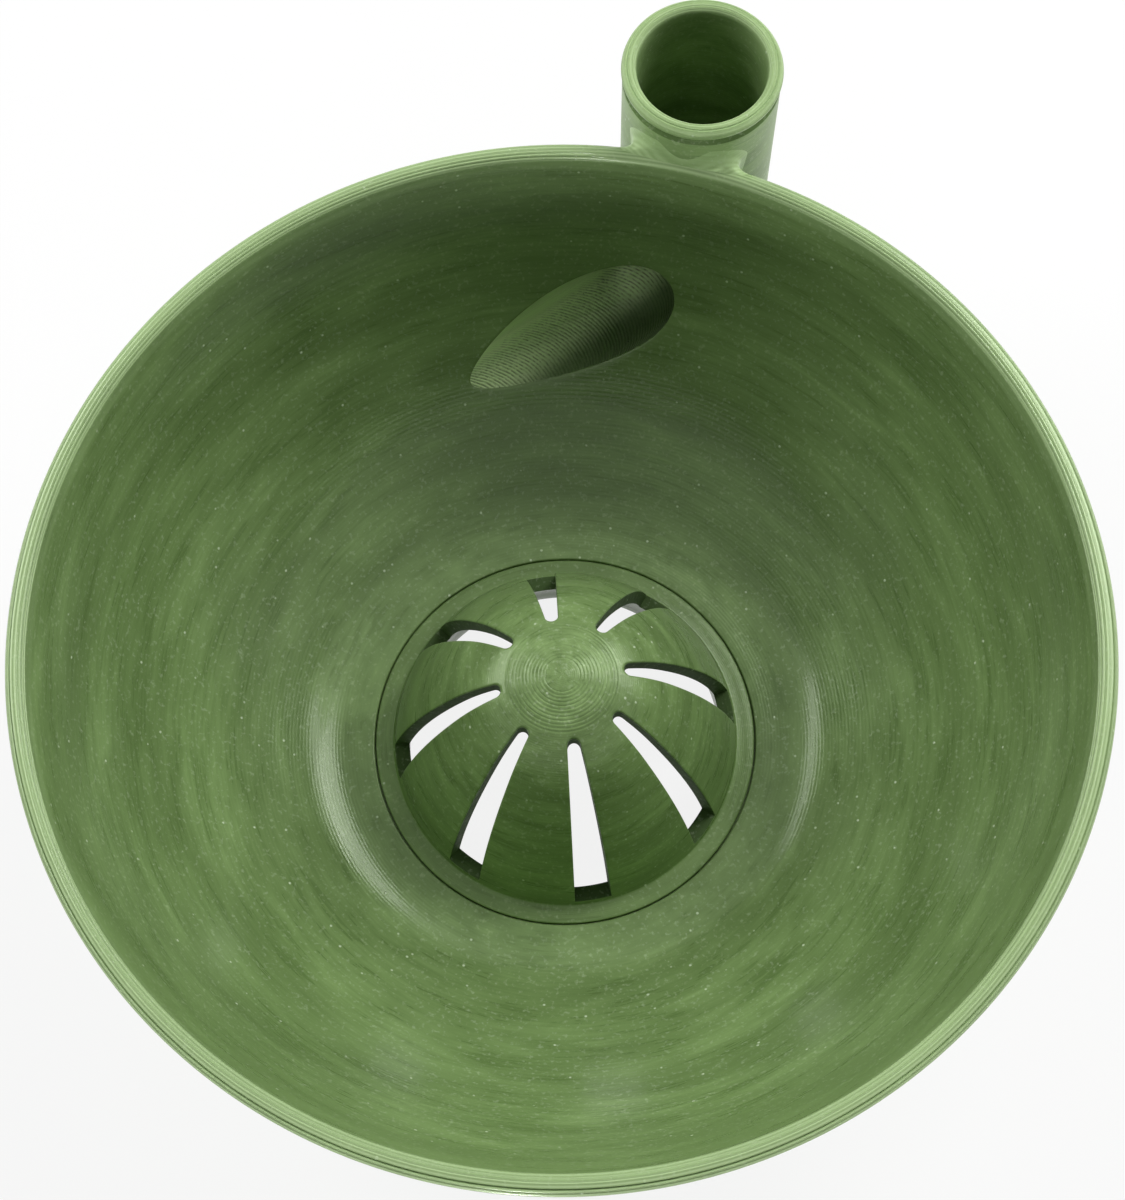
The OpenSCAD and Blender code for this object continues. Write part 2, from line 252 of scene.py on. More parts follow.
# a round edge in section, up to 180 degrees, with the lines between its layers pressed in
def linedRound(mid, radius, start, lines):
    angles = np.linspace(start, 180, int((180 - start) / 1.5) + 1)  # a point every 1.5 degrees
    depth = np.zeros(len(angles))
    for middle, wide, deep in lines:
        depth = np.maximum(depth, deep * np.clip(1 - np.abs(angles - middle) / (wide / 2), 0, 1))
    return arcPoints(mid, radius - depth, start, 180, len(angles))


# quads of a net of points, as rows by columns; a closed net joins its last column to its first
def netFaces(rows, columns, closed=False):
    index = np.arange(rows * columns).reshape(rows, columns)
    after = np.roll(index, -1, axis=1)
    last = columns if closed else columns - 1
    corners = index[:-1, :last], after[:-1, :last], after[1:, :last], index[1:, :last]
    return np.stack(corners, -1).reshape(-1, 4)


# a patch is its points, its faces and its finish: outside, bore or cut
def netPatch(net, closed=False, finish="outside"):
    return net.reshape(-1, 3), netFaces(net.shape[0], net.shape[1], closed).tolist(), finish


def latheNet(profile, sides, axisY):
    angles = np.arange(sides) * 2 * math.pi / sides
    x = profile[:, :1] * np.cos(angles)
    y = profile[:, :1] * np.sin(angles) + axisY
    return np.stack((x, y, np.repeat(profile[:, 1:], sides, axis=1)), -1)


# rows of a rounded edge, from one face over the corner to the next face
def roundedRows(start, corner, end, count):
    t = np.linspace(0, 1, count)[:, None, None]
    return (1 - t) ** 2 * start + 2 * t * (1 - t) * corner + t ** 2 * end


# unit ways off an edge loop along its two faces, from the faces' normals there
def edgeWays(loop, normalA, normalB):
    along = np.roll(loop, -1, axis=0) - np.roll(loop, 1, axis=0)
    wayA, wayB = unit(np.cross(along, normalA)), unit(np.cross(along, normalB))
    wayA *= np.sign((wayA * normalB).sum(-1, keepdims=True))
    wayB *= np.sign((wayB * normalA).sum(-1, keepdims=True))
    return wayA, wayB


def insideLoop(points, loop):
    x, y = points[:, :1], points[:, 1:]
    ax, ay = loop[:, 0], loop[:, 1]
    bx, by = np.roll(ax, -1), np.roll(ay, -1)
    spans = (ay > y) != (by > y)
    cross = ax + (y - ay) / np.where(by == ay, 1e-9, by - ay) * (bx - ax)
    return (spans & (x < cross)).sum(1) % 2 == 1


# a turned surface with a hole: the cells round the hole give way to triangles that meet its loop
def piercedLathe(profile, sides, axisY, loop, gap):
    net = latheNet(profile, sides, axisY)
    step = 2 * math.pi / sides
    length = lengthAlong(profile)
    reach = np.hypot(loop[:, 0], loop[:, 1] - axisY)
    angle = np.arctan2(loop[:, 1] - axisY, loop[:, 0]) % (2 * math.pi)
    flat = np.column_stack((reach, loop[:, 2]))[:, None]
    way = np.diff(profile, axis=0)
    share = np.clip(((flat - profile[:-1]) * way).sum(-1) / (way ** 2).sum(-1), 0, 1)
    best = np.linalg.norm(flat - profile[:-1] - share[..., None] * way, axis=-1).argmin(1)
    along = length[best] + share[np.arange(len(loop)), best] * np.diff(length)[best]
    hole = np.column_stack((angle * reach.mean(), along))

    rowA = max(np.searchsorted(length, along.min()) - 2, 0)
    rowB = min(np.searchsorted(length, along.max()) + 1, len(profile) - 1)
    colA = int(angle.min() / step) - 1
    colB = int(angle.max() / step) + 2
    rows, columns = np.meshgrid(np.arange(rowA, rowB + 1), np.arange(colA, colB + 1), indexing="ij")
    rim = ((rows == rowA) | (rows == rowB) | (columns == colA) | (columns == colB)).ravel()
    spots = np.column_stack((columns.ravel() * step * reach.mean(), length[rows.ravel()]))
    far = np.linalg.norm(spots[:, None] - hole, axis=-1).min(1) > gap
    keep = rim | (far & ~insideLoop(spots, hole))
    index = np.full(len(keep), -1)
    index[keep] = np.arange(keep.sum())
    index = index.reshape(rows.shape)
    start = int(keep.sum())
    ring = np.concatenate((index[0, :-1], index[:-1, -1], index[-1, :0:-1], index[:0:-1, 0]))
    edges = list(zip(ring.tolist(), np.roll(ring, -1).tolist()))
    edges += [(start + i, start + (i + 1) % len(hole)) for i in range(len(hole))]
    flatSpots = np.vstack((spots[keep], hole))
    made = delaunay_2d_cdt([Vector(p) for p in flatSpots], edges, [], 0, 1e-7)  # 1e-7: closer points are one
    source = [came[0] for came in made[3]]
    triangles = np.array([[source[i] for i in face] for face in made[2]])
    triangles = triangles[~insideLoop(flatSpots[triangles].mean(1), hole)]

    spare = np.ones((len(profile) - 1, sides), bool)
    spare[rowA:rowB, colA:colB] = False
    quads = netFaces(len(profile), sides, True)[spare.ravel()]
    points = np.vstack((net[rowA:rowB + 1, colA:colB + 1].reshape(-1, 3)[keep], loop))
    return [(net.reshape(-1, 3), quads.tolist(), "outside"), (points, triangles.tolist(), "outside")]


def patchMesh(name, patches, materials=()):
    points = np.vstack([p for p, faces, finish in patches]) * mm
    faces, finishes, start = [], [], 0
    for p, some, finish in patches:
        faces += [[start + i for i in face] for face in some]
        finishes += [finish] * len(some)
        start += len(p)
    mesh = bpy.data.meshes.new(name)
    mesh.from_pydata(points.tolist(), [], faces)
    mesh.polygons.foreach_set("material_index", [int(finish == "bore") for finish in finishes])
    cut = mesh.attributes.new("cut", "FLOAT", "FACE")
    cut.data.foreach_set("value", [float(finish == "cut") for finish in finishes])
    for material in materials:
        mesh.materials.append(material)
    return mesh


joins = dict(seam=0.004, sectors=0.002, hardEdge=40)  # points this close are one; sharper edges stay hard


# joins what meets, turns the faces outwards and keeps the hard edges hard
def tidyMesh(mesh, seam):
    net = bmesh.new()
    net.from_mesh(mesh)
    bmesh.ops.remove_doubles(net, verts=net.verts, dist=seam * mm)
    bmesh.ops.delete(net, geom=[v for v in net.verts if not v.link_faces], context="VERTS")
    bmesh.ops.recalc_face_normals(net, faces=net.faces)
    loose = sum(len(e.link_faces) != 2 for e in net.edges)
    net.to_mesh(mesh)
    net.free()
    mesh.shade_smooth()
    mesh.set_sharp_from_angle(angle=math.radians(joins["hardEdge"]))
    return loose


def addPiece(name, mesh, body, node, seam=joins["seam"]):
    loose = tidyMesh(mesh, seam)
    piece = bpy.data.objects.new(name, mesh)
    scene.collection.objects.link(piece)
    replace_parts(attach(piece, body), node)
    print(name, "has", len(mesh.polygons), "faces and", loose, "open edges")


# Geometry Nodes: copies of one sector round the upright axis, joined into one mesh
def repeatRound(name, sector, count, startAngle, material, cutMaterial):
    tree = bpy.data.node_groups.new("repeatRound_" + name, "GeometryNodeTree")
    sizes = (("Count", "Int", count), ("Start Angle", "Float", math.radians(startAngle)),
             ("Join Distance", "Float", joins["sectors"] * mm))
    tree.interface.new_socket("Sector", in_out="INPUT", socket_type="NodeSocketGeometry")
    sockets = [tree.interface.new_socket(label, in_out="INPUT", socket_type="NodeSocket" + kind)
               for label, kind, size in sizes]
    tree.interface.new_socket("Ring", in_out="OUTPUT", socket_type="NodeSocketGeometry")
    given = addNode(tree, "NodeGroupInput")
    spots = addNode(tree, "GeometryNodePoints", {"Count": given.outputs["Count"]})
    order = addNode(tree, "GeometryNodeInputIndex")
    share = addNode(tree, "Math", {0: 2 * math.pi, 1: given.outputs["Count"]}, operation="DIVIDE")
    angle = addNode(tree, "Math", {
        0: order, 1: share, 2: given.outputs["Start Angle"]}, operation="MULTIPLY_ADD")
    axis = addNode(tree, "CombineXYZ", {"Z": angle})
    spin = addNode(tree, "FunctionNodeEulerToRotation", {0: axis})
    copies = addNode(tree, "GeometryNodeInstanceOnPoints", {
        "Points": spots, "Instance": given.outputs["Sector"], "Rotation": spin})
    real = addNode(tree, "GeometryNodeRealizeInstances", {"Geometry": copies})
    joined = addNode(tree, "GeometryNodeMergeByDistance", {
        "Geometry": real, "Distance": given.outputs["Join Distance"]})
    dressed = addNode(tree, "GeometryNodeSetMaterial", {"Geometry": joined, "Material": material})
    # faces marked cut take the second material; on the strainer that is the painted shade of its slots
    cut = addNode(tree, "GeometryNodeInputNamedAttribute", {"Name": "cut"}, data_type="FLOAT")
    dressedCut = addNode(tree, "GeometryNodeSetMaterial", {
        "Geometry": dressed, "Selection": cut.outputs["Attribute"], "Material": cutMaterial})
    addNode(tree, "NodeGroupOutput", {"Ring": dressedCut})

    maker = bpy.data.objects.new(name + "_sector", sector)
    scene.collection.objects.link(maker)
    modifier = maker.modifiers.new("repeatRound", "NODES")
    modifier.node_group = tree
    for socket, (label, kind, size) in zip(sockets, sizes):
        modifier[socket.identifier] = size
    ready = maker.evaluated_get(bpy.context.evaluated_depsgraph_get())
    mesh = bpy.data.meshes.new_from_object(ready)
    mesh.name = name
    maker.modifiers.remove(modifier)
    bpy.data.objects.remove(maker)
    return mesh


# the jet: a bend from the tube's axis, then a straight run that dives through the wall
jet = dict(
    bore=8.2, outside=10.2, axisY=90.4, level=41.0, bend=36.0, turn=40.0, dive=11.0, seat=79.05,
    lip=0.35, points=220, finePoints=1201, searchFrom=-25.0, searchTo=36.0, halvings=48,
)


def jetPoint(run, phi, radius):
    dive = math.radians(jet["dive"])
    angle = math.radians(jet["turn"]) + np.minimum(run, 0) / jet["bend"]
    straight = np.maximum(run, 0)
    wide = jet["bend"] + radius * np.cos(phi)
    x = wide * np.cos(angle) - jet["bend"] - straight * np.sin(angle)
    y = -wide * np.sin(angle) - straight * np.cos(angle)
    z = radius * np.sin(phi)
    away = jet["axisY"] + y * math.cos(dive) - z * math.sin(dive)
    high = jet["level"] + y * math.sin(dive) + z * math.cos(dive)
    return np.stack((x, away, high), -1)


def jetNormal(run, phi):
    return jetPoint(run, phi, 1.0) - jetPoint(run, phi, 0.0)


# how far along the jet its surface crosses a level of some distance
def jetCrossing(distance, level, phi, radius):
    near, far = np.full(phi.shape, jet["searchFrom"]), np.full(phi.shape, jet["searchTo"])
    rising = distance(jetPoint(far, phi, radius)) > level
    for halving in range(jet["halvings"]):
        middle = (near + far) / 2
        past = (distance(jetPoint(middle, phi, radius)) > level) == rising
        near, far = np.where(past, near, middle), np.where(past, middle, far)
    return far


def jetLoop(distance, level, phi, radius):
    return jetPoint(jetCrossing(distance, level, phi, radius), phi, radius)


# angles round the jet that space the points of a crossing evenly
def evenAngles(distance, level, radius, count):
    phi = np.linspace(0, 2 * math.pi, jet["finePoints"])
    length = lengthAlong(jetLoop(distance, level, phi, radius))
    return np.interp(np.arange(count) / count * length[-1], length, phi)


bowl = dict(
    rim=80.0, height=68.0, wall=3.0, floorEdge=40.0, floorTop=10.0, blend=15.0, underside=6.0,
    drain=28.24, ledge=32.3, ledgeTop=8.4, floorMid=34.0, edge=0.3, plainPast=1.0, mouthGap=0.55, backGap=0.7,
    sides=288, outerRows=50, innerRows=66, blendRows=20, edgeRows=5, lipRows=6, boreRows=9,
    # lines between the layers of the rim: angle from the outside, width in degrees, depth
    rimLines=((20, 12, 0.08), (38, 12, 0.1), (60, 20, 0.34), (98, 10, 0.08), (117, 12, 0.12),
              (137, 12, 0.12), (156, 12, 0.08)),
)
tube = dict(
    axisY=90.4, outside=12.4, bore=10.2, neck=11.3, foot=48.97, mouth=77.0, bead=1.2, beadFrom=-45,
    grooveHigh=1.0, seatPlay=0.02, grooveLead=0.15, beadLead=0.2, sides=192, rows=24,
    # groove under the bead: depth into the wall, height above its foot
    grooveCurve=((0.03, 0.0), (0.12, 0.14), (0.4, 0.42), (0.5, 0.6), (0.5, 0.94), (0.42, 1.1)),
    beadLines=((15, 12, 0.05), (40, 12, 0.06), (72, 20, 0.22), (112, 14, 0.07), (140, 12, 0.06)),
)
elbow = dict(
    top=53.97, socket=11.35, edge=0.06, web=2.4, inWeb=0.6, webShare=0.6, webLeast=0.05, topClear=1.0,
    footClear=0.3, play=0.02, lead=0.4, gap=0.25, sides=128, points=160, outRows=(44, 21), inRows=(15, 36),
    webRows=9, inWebRows=5, pipeRows=40,
)

# the wall is the space between two spheres about one centre on the axis
rimIn, rimRound = bowl["rim"] - bowl["wall"], bowl["wall"] / 2
rimMidR, rimMidZ = bowl["rim"] - rimRound, bowl["height"] - rimRound
curveZ = rimIn ** 2 - bowl["floorEdge"] ** 2 + rimMidZ ** 2 - bowl["floorTop"] ** 2
curveZ /= 2 * (rimMidZ - bowl["floorTop"])
curveIn, curveOut = math.hypot(rimIn, curveZ - rimMidZ), math.hypot(bowl["rim"], curveZ - rimMidZ)
curveMid = np.array((0, 0, curveZ))


def fromCurveMid(points):
    return np.linalg.norm(points - curveMid, axis=-1)


def buildBowl():
    sides, floorTop, underside = bowl["sides"], bowl["floorTop"], bowl["underside"]
    blendZ = floorTop + bowl["blend"]
    blendX = math.sqrt((curveIn - bowl["blend"]) ** 2 - (curveZ - blendZ) ** 2)
    blendEnd = math.degrees(math.atan2(blendZ - curveZ, blendX))
    under = math.degrees(math.asin((underside - curveZ) / curveOut))
    rimOutAngle = math.degrees(math.atan2(rimMidZ - curveZ, bowl["rim"]))
    rimInAngle = math.degrees(math.atan2(rimMidZ - curveZ, rimIn))
    outer = arcPoints((0, curveZ), curveOut, under, rimOutAngle, bowl["outerRows"])
    inner = arcPoints((0, curveZ), curveIn, rimInAngle, blendEnd, bowl["innerRows"])
    blend = arcPoints((blendX, blendZ), bowl["blend"], blendEnd, -90, bowl["blendRows"])
    edge, rows = bowl["edge"], bowl["edgeRows"]
    ledge, ledgeTop, drain = bowl["ledge"], bowl["ledgeTop"], bowl["drain"]
    seat = np.vstack((
        [blend[-1], (bowl["floorMid"], floorTop)],
        arcPoints((ledge + edge, floorTop - edge), edge, 90, 180, rows),
        [(ledge, ledgeTop), ((ledge + drain) / 2, ledgeTop)],
        arcPoints((drain + edge, ledgeTop - edge), edge, 90, 180, rows),
        arcPoints((drain + edge, underside + edge), edge, 180, 270, rows),
        [(bowl["floorMid"], underside), outer[0]],
    ))

    # port of the jet: rounded lip, bore through the wall, seat of the elbow behind it
    bore, outside = jet["bore"], jet["outside"]
    phi = evenAngles(fromCurveMid, curveIn, bore, jet["points"])
    mouthRun = jetCrossing(fromCurveMid, curveIn, phi, bore)
    mouth = jetPoint(mouthRun, phi, bore)
    onBowl, inBore = edgeWays(mouth, unit(mouth - curveMid), jetNormal(mouthRun, phi))
    lipOut = curveMid + unit(mouth + jet["lip"] * onBowl - curveMid) * curveIn
    lipIn = mouth + jet["lip"] * inBore
    seatIn, seatOut = (jetLoop(fromCurveMid, jet["seat"], phi, radius) for radius in (bore, outside))
    back = jetLoop(fromCurveMid, curveOut, phi, outside)
    share = np.linspace(0, 1, bowl["boreRows"])[:, None, None]
    patches = piercedLathe(inner, sides, 0, lipOut, bowl["mouthGap"])
    patches += piercedLathe(outer, sides, 0, back, bowl["backGap"])
    patches += [netPatch(latheNet(part, sides, 0), True) for part in (blend, seat)]
    rimNet, plainNet = (
        latheNet(linedRound((rimMidR, rimMidZ), rimRound, 0, lines), sides, 0)
        for lines in (bowl["rimLines"], ()))
    hidden = (np.abs(rimNet[..., 0]) < tube["outside"] + bowl["plainPast"]) & (rimNet[..., 1] > 0)
    rimNet[hidden] = plainNet[hidden]  # no lines under the saddle
    patches += [
        netPatch(rimNet, True),
        netPatch(roundedRows(lipOut, mouth, lipIn, bowl["lipRows"]), True),
        netPatch(lipIn + (seatIn - lipIn) * share, True, "bore"),
        netPatch(np.stack((seatIn, seatOut)), True, "bore"),
        netPatch(np.stack((seatOut, (seatOut + back) / 2, back)), True, "bore"),
    ]

    # the tube stands in a shallow seat in the outside of the wall
    off = tube["outside"] + tube["seatPlay"]
    for points, faces, finish in patches:
        near = (np.hypot(points[:, 0], points[:, 1] - tube["axisY"]) < off) & (points[:, 2] > elbow["top"])
        points[near, 1] = tube["axisY"] - np.sqrt(off ** 2 - points[near, 0] ** 2)
        inset = np.hypot(points[near, 0], points[near, 1]) - rimMidR
        top = rimMidZ + np.sqrt(np.maximum(rimRound ** 2 - inset ** 2, 0))
        points[near, 2] = np.minimum(points[near, 2], top)
    mesh = patchMesh("bowlShell", patches, (bowlPla, channelPla))
    addPiece("bowlShell", mesh, "bowl", "bowl_shell")


def buildTube():
    outR, bore, edge, rows = tube["outside"], tube["bore"], elbow["edge"], tube["rows"]
    beadZ = tube["mouth"] - tube["bead"]
    grooveZ = beadZ - tube["bead"] - tube["grooveHigh"]
    bead = linedRound((bore + tube["bead"], beadZ), tube["bead"], tube["beadFrom"], tube["beadLines"])
    groove = np.array((outR, grooveZ)) + np.array(tube["grooveCurve"]) * (-1, 1)
    inside = straightPoints(bore, beadZ - tube["beadLead"], tube["foot"], rows)
    body = np.vstack((
        inside[-1:],
        [(tube["neck"], tube["foot"]), (tube["neck"], elbow["top"]), (outR - edge, elbow["top"])],
        straightPoints(outR, elbow["top"] + edge, grooveZ - tube["grooveLead"], rows),
        groove[:1],
    ))
    parts = (body, "outside"), (np.vstack((groove, bead[:1])), "bore"), (np.vstack((bead, inside)), "outside")
    patches = [netPatch(latheNet(part, tube["sides"], tube["axisY"]), True, finish) for part, finish in parts]
    mesh = patchMesh("feedTube", patches, (tubePla, groovePla))
    addPiece("feedTube", mesh, "bowl", "feed_tube")


# the elbow's core is an upright bore with a round bottom at the jet's level
def awayFromCore(points):
    away = points - np.array((0, jet["axisY"], jet["level"]))
    return np.stack((away[..., 0], away[..., 1], np.minimum(away[..., 2], 0)), -1)


def fromCore(points):
    return np.linalg.norm(awayFromCore(points), axis=-1)


# where the jet leaves the core: the loop, and the rounded edge along both
def jetBranch(radius, coreRadius, phi, setback, highest, wallRadius):
    run = jetCrossing(fromCore, coreRadius, phi, radius)
    loop = jetPoint(run, phi, radius)
    onCore, onJet = edgeWays(loop, unit(awayFromCore(loop)), jetNormal(run, phi))
    wall = jetCrossing(fromCurveMid, wallRadius, phi, radius)
    alongJet = np.minimum(setback, elbow["webShare"] * (wall - run))[:, None]
    alongCore = np.clip(highest - loop[:, 2], elbow["webLeast"], setback)[:, None]
    side = loop + alongCore * onCore
    middle = np.column_stack((
        np.zeros(len(phi)), np.full(len(phi), jet["axisY"]), np.maximum(side[:, 2], jet["level"])))
    return run, middle + unit(side - middle) * coreRadius, loop, loop + alongJet * onJet


def buildElbow():
    level, bell, top, edge, play = jet["level"], tube["outside"], elbow["top"], elbow["edge"], elbow["play"]
    bore, pipeBore, pipeOut, socketZ = tube["bore"], jet["bore"], jet["outside"], tube["foot"] - elbow["play"]
    phi = evenAngles(fromCore, bell, pipeOut, elbow["points"])
    outRun, outSide, outLoop, outPipe = jetBranch(
        pipeOut, bell, phi, elbow["web"], top - elbow["topClear"], curveOut)
    inRun, inSide, inLoop, inPipe = jetBranch(
        pipeBore, bore, phi, elbow["inWeb"], tube["foot"] - elbow["footClear"], jet["seat"])
    outEnd = jetCrossing(fromCurveMid, jet["seat"], phi, pipeOut)
    inEnd = jetCrossing(fromCurveMid, jet["seat"], phi, pipeBore)
    outer = np.vstack((
        arcPoints((0, level), bell, -90, 0, elbow["outRows"][0]),
        straightPoints(bell, level, top - edge, elbow["outRows"][1])[1:],
    ))
    cap = np.array((
        (bell, top - edge), (bell - edge, top), (elbow["socket"], top),
        (elbow["socket"], socketZ), (bore, socketZ)))
    inner = np.vstack((
        straightPoints(bore, socketZ, level, elbow["inRows"][0])[:-1],
        arcPoints((0, level), bore, 0, -90, elbow["inRows"][1]),
    ))
    ends = np.stack((jetPoint(outEnd, phi, pipeOut - play), jetPoint(inEnd, phi, pipeBore)))

    # each wall of the pipe follows the bend from its branch to the seat in the bowl
    def pipeWall(first, run, end, radius):
        shift = first - jetPoint(run, phi, radius)
        share = np.linspace(0, 1, elbow["pipeRows"])[1:]
        rows = [jetPoint(run + (end - run) * t, phi, radius) + shift * (1 - t) ** 3 for t in share]
        return np.stack([first] + rows)

    sides, lead = elbow["sides"], elbow["lead"]
    patches = piercedLathe(outer, sides, jet["axisY"], outSide, elbow["gap"])
    patches += piercedLathe(inner, sides, jet["axisY"], inSide, elbow["gap"])
    patches += [
        netPatch(latheNet(cap, sides, jet["axisY"]), True),
        netPatch(roundedRows(outSide, outLoop, outPipe, elbow["webRows"]), True),
        netPatch(roundedRows(inSide, inLoop, inPipe, elbow["inWebRows"]), True, "bore"),
        netPatch(pipeWall(outPipe, outRun + lead, outEnd, pipeOut - play), True),
        netPatch(pipeWall(inPipe, inRun + lead, inEnd, pipeBore), True, "bore"),
        netPatch(ends, True, "bore"),
    ]
    mesh = patchMesh("jetElbow", patches, (tubePla, channelPla))
    addPiece("jetElbow", mesh, "bowl", "jet_elbow")


saddle = dict(
    soft=3.4, web=1.7, webWide=8.0, low=60.0, taper=3.0, rimFrom=77.3, rimFull=79.0, sink=0.03, bury=0.7,
    softLeast=0.01, softEnd=0.9, step=0.26, boxLow=(-19, 74, 59.0), boxHigh=(19, 92, 76),
    # how its skin is settled: rounds, then shares of a step, and the least slope that is trusted
    untwist=6, letGo=0.02, settle=4, nudge=0.02, move=0.3, slopeLeast=0.2,
)


# the saddle is the soft fillet that grows where the rim and the tube come together
def saddleField(points):
    reach = np.hypot(points[..., 0], points[..., 1])
    high = points[..., 2]
    onWall = np.abs(np.hypot(reach, high - curveZ) - (curveIn + curveOut) / 2) - (curveOut - curveIn) / 2
    onRim = np.hypot(reach - rimMidR, high - rimMidZ) - rimRound
    toBowl = np.where(high > rimMidZ, onRim, onWall)
    toTube = np.hypot(points[..., 0], points[..., 1] - tube["axisY"]) - tube["outside"]
    over = np.clip((reach - saddle["rimFrom"]) / (saddle["rimFull"] - saddle["rimFrom"]), 0, 1)
    down = np.clip((high - saddle["low"]) / saddle["taper"], 0, 1)
    web = saddle["web"] * np.exp(-(points[..., 0] / saddle["webWide"]) ** 2)
    soft = saddle["soft"] + web * np.clip((high - rimMidZ) / rimRound, 0, 1)
    soft = saddle["softLeast"] + soft * over * over * (3 - 2 * over) * down
    apart = np.abs(toBowl - toTube)
    nearer = np.minimum(toBowl, toTube)
    # its thin edge sinks out of sight
    blend = nearer - soft / 4 * np.maximum(1 - apart / soft, 0) ** 2 + saddle["sink"]
    return np.maximum.reduce((blend, -saddle["bury"] - nearer, apart - soft, saddle["softEnd"] - soft))


# the skin where a field is zero, one point to each cell of a grid that it passes through
def fieldSkin(field, low, high, step):
    axes = [np.arange(a, b + step, step) for a, b in zip(low, high)]
    grid = np.stack(np.meshgrid(*axes, indexing="ij"), -1)
    value = field(grid)
    # corners that lie in and out by turns would join two skins, so those are let go
    for again in range(saddle["untwist"]):
        for axis in range(3):
            slab = np.moveaxis(value, axis, 0)
            corners = slab[:, :-1, :-1], slab[:, 1:, :-1], slab[:, 1:, 1:], slab[:, :-1, 1:]
            a, b, c, d = (corner < 0 for corner in corners)
            twisted = (a == c) & (b == d) & (a != b)
            for corner in corners:
                corner[twisted] = np.maximum(corner[twisted], saddle["letGo"])
    cells = tuple(n - 1 for n in value.shape)
    total, count, quads = np.zeros(cells + (3,)), np.zeros(cells, int), []
    for axis in range(3):
        left, right = [slice(None)] * 3, [slice(None)] * 3
        left[axis], right[axis] = slice(None, -1), slice(1, None)
        a, b = value[tuple(left)], value[tuple(right)]
        at = np.argwhere((a < 0) != (b < 0))
        va, vb = a[tuple(at.T)], b[tuple(at.T)]
        spot = grid[tuple(at.T)].copy()
        spot[:, axis] += step * va / (va - vb)
        others = [i for i in range(3) if i != axis]
        ring = []
        for u, v in ((-1, -1), (0, -1), (0, 0), (-1, 0)):
            cell = at.copy()
            cell[:, others[0]] += u
            cell[:, others[1]] += v
            np.add.at(total, tuple(cell.T), spot)
            np.add.at(count, tuple(cell.T), 1)
            ring.append(np.ravel_multi_index(tuple(cell.T), cells))
        quads.append(np.stack(ring, -1))
    used = np.flatnonzero(count.ravel())
    number = np.full(count.size, -1)
    number[used] = np.arange(len(used))
    points = total.reshape(-1, 3)[used] / count.ravel()[used, None]
    nudge, most = step * saddle["nudge"], step * saddle["move"]
    for settle in range(saddle["settle"]):
        here = field(points)
        slope = np.stack([
            (field(points + nudge * way) - field(points - nudge * way)) / (2 * nudge)
            for way in np.eye(3)], -1)
        move = np.clip(here / np.maximum((slope ** 2).sum(-1), saddle["slopeLeast"]), -most, most)
        points = points - move[:, None] * slope
    return points, number[np.concatenate(quads)].tolist(), "outside"


def buildSaddle():
    skin = fieldSkin(saddleField, saddle["boxLow"], saddle["boxHigh"], saddle["step"])
    mesh = patchMesh("rimSaddle", [skin], (saddlePla,))
    addPiece("rimSaddle", mesh, "bowl", "rim_saddle", seam=0)


foot = dict(
    outside=38.0, inside=34.0, height=6.0, notches=3, notchWide=14.0, notchHigh=3.0, corner=1.2, edge=0.45,
    startAngle=90, topRows=7, cornerRows=8, toeRows=7, soleRows=40, faceRows=7, edgeRows=6,
)


# one third of the foot ring, from the middle of a notch to halfway to the next, and its mirror
def buildFoot():
    half, high, corner, edge = foot["notchWide"] / 2, foot["notchHigh"], foot["corner"], foot["edge"]
    outside, inside, edgeRows = foot["outside"], foot["inside"], foot["edgeRows"]
    reach = (outside + inside) / 2
    end = math.radians(180 / foot["notches"]) * reach
    outline = np.vstack((
        straightPoints(high, 0, half - corner, foot["topRows"])[:, ::-1],
        arcPoints((half - corner, high - corner), corner, 90, 0, foot["cornerRows"])[1:],
        arcPoints((half + edge, edge), edge, 180, 270, foot["toeRows"]),
        straightPoints(0, half + edge, end, foot["soleRows"])[1:, ::-1],
    ))
    length = lengthAlong(outline)
    along = np.gradient(outline, length, axis=0)
    into = unit(np.column_stack((-along[:, 1], along[:, 0])))
    into[0], into[-1] = (0, 1), (0, 1)
    inset = outline + into * edge
    above = np.column_stack((length / length[-1] * end, np.full(len(outline), foot["height"])))

    def onRing(flat, radius):
        angle = flat[:, 0] / reach
        return np.column_stack((radius * np.cos(angle), radius * np.sin(angle), flat[:, 1]))

    def face(radius):
        share = np.linspace(1, 0, foot["faceRows"])
        return np.stack([onRing(inset + (above - inset) * t, radius) for t in share])

    outEdge = onRing(inset, outside), onRing(outline, outside), onRing(outline, outside - edge)
    inEdge = onRing(outline, inside + edge), onRing(outline, inside), onRing(inset, inside)
    rows = np.vstack((
        face(outside),
        roundedRows(*outEdge, edgeRows)[1:],
        roundedRows(*inEdge, edgeRows),
        face(inside)[::-1][1:],
        onRing(above, outside)[None],
    ))
    flip = rows * np.array((1, -1, 1))
    sector = patchMesh("footSector", [netPatch(rows), netPatch(flip)])
    mesh = repeatRound("footRing", sector, foot["notches"], foot["startAngle"], footPla, footPla)
    addPiece("footRing", mesh, "bowl", "foot_ring")


dome = dict(
    outside=29.0, floor=10.0, crown=43.0, crownCurve=22.0, sideCurve=60.0, thick=2.4, skirt=10.7, fillet=0.4,
    flange=32.12, flangeMid=30.6, flangeLow=8.4, spigot=27.94, spigotMid=8.0, spigotLow=6.0, round=0.3,
    slots=8, slotTurn=113.6, slotStart=9.8, slotTop=2.1, slotFoot=6.4, slotPast=1.0, sill=11.0,
    edge=0.35, edgeFade=2.0, ringPitch=0.55, ringDepth=0.07, ringFrom=2.2, ringReach=9.3, ringFade=(0.6, 0.3),
    columns=16, bunch=1.25, sillColumns=5, turns=12, steps=46, settle=20, crownRows=16, ringRows=8, rows=5,
)

